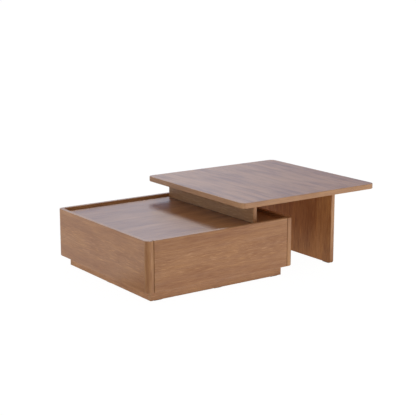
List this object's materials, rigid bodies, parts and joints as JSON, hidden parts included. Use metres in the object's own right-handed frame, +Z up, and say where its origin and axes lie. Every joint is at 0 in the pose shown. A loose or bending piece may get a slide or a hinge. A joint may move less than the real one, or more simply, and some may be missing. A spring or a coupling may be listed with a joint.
{
  "type": "sliding top coffee table",
  "caption": "Low square coffee table: a bridge-shaped top slides sideways over a box body with a recessed tray, rounded corners, a set-back plinth and drawers.",
  "frame": {"origin": "on the floor, under the middle of the open table", "axes": "+X the way the top slides open, +Y to the back of the box, +Z up"},
  "size_m": [1.308, 0.8, 0.38],
  "materials": {
    "veneer": "satin walnut veneer",
    "post_wood": "satin solid walnut",
    "plinth_veneer": "satin walnut veneer",
    "carcase_board": "plain faced board",
    "block_wood": "bare pine",
    "tenon_wood": "planed beech",
    "drawer_board": "lacquered birch",
    "drawer_floor": "faced hardboard",
    "runner_steel": "zinc plated",
    "screw_steel": "zinc plated",
    "felt": "pressed wool felt",
    "glide_plastic": "matt"
  },
  "bodies": {
    "box": {"left_end_panel": "veneer", "right_end_panel": "veneer", "front_left_post": "post_wood", "front_right_post": "post_wood", "back_left_post": "post_wood", "back_right_post": "post_wood", "tray_panel": "veneer", "bottom_panel": "carcase_board", "centre_divider": "carcase_board", "top_front_rail": "carcase_board", "top_back_rail": "carcase_board", "carcase_tenons": "tenon_wood", "plinth_front": "plinth_veneer", "plinth_back": "plinth_veneer", "plinth_left": "plinth_veneer", "plinth_right": "plinth_veneer", "plinth_cross_rail": "carcase_board", "plinth_corner_blocks": "block_wood", "plinth_glides": "glide_plastic", "front_left_outer_runner": "runner_steel", "front_right_outer_runner": "runner_steel", "back_left_outer_runner": "runner_steel", "back_right_outer_runner": "runner_steel", "runner_packers": "block_wood"},
    "sliding_top": {"top_panel": "veneer", "top_lipping": "post_wood", "support_panel": "veneer", "leg_panel": "veneer", "support_batten": "block_wood", "leg_batten": "block_wood", "top_tenons": "tenon_wood", "support_felt": "felt", "leg_glides": "glide_plastic"},
    "front_drawer": {"front_drawer_front": "veneer", "front_drawer_inner_front": "drawer_board", "front_drawer_back": "drawer_board", "front_drawer_bottom": "drawer_floor", "front_drawer_left_side": "drawer_board", "front_drawer_right_side": "drawer_board", "front_drawer_screws": "screw_steel", "front_left_inner_runner": "runner_steel", "front_right_inner_runner": "runner_steel"},
    "front_runner_middle": {"front_left_middle_runner": "runner_steel", "front_right_middle_runner": "runner_steel"},
    "back_drawer": {"back_drawer_front": "veneer", "back_drawer_inner_front": "drawer_board", "back_drawer_back": "drawer_board", "back_drawer_bottom": "drawer_floor", "back_drawer_left_side": "drawer_board", "back_drawer_right_side": "drawer_board", "back_drawer_screws": "screw_steel", "back_left_inner_runner": "runner_steel", "back_right_inner_runner": "runner_steel"},
    "back_runner_middle": {"back_left_middle_runner": "runner_steel", "back_right_middle_runner": "runner_steel"}
  },
  "joints": [
    {"name": "top_slide", "type": "slide", "parent": "box", "child": "sliding_top", "axis": [1, 0, 0], "range_m": [-0.27, 0.15]},
    {"name": "front_drawer_slide", "type": "slide", "parent": "box", "child": "front_drawer", "axis": [0, -1, 0], "range_m": [0, 0.32]},
    {"name": "front_runner_slide", "type": "slide", "parent": "box", "child": "front_runner_middle", "axis": [0, -1, 0], "range_m": [0, 0.16]},
    {"name": "back_drawer_slide", "type": "slide", "parent": "box", "child": "back_drawer", "axis": [0, 1, 0], "range_m": [0, 0.32]},
    {"name": "back_runner_slide", "type": "slide", "parent": "box", "child": "back_runner_middle", "axis": [0, 1, 0], "range_m": [0, 0.16]}
  ],
  "couplings": [
    {"joint": "front_runner_slide", "follows": "front_drawer_slide", "ratio": 0.5},
    {"joint": "back_runner_slide", "follows": "back_drawer_slide", "ratio": 0.5}
  ]
}
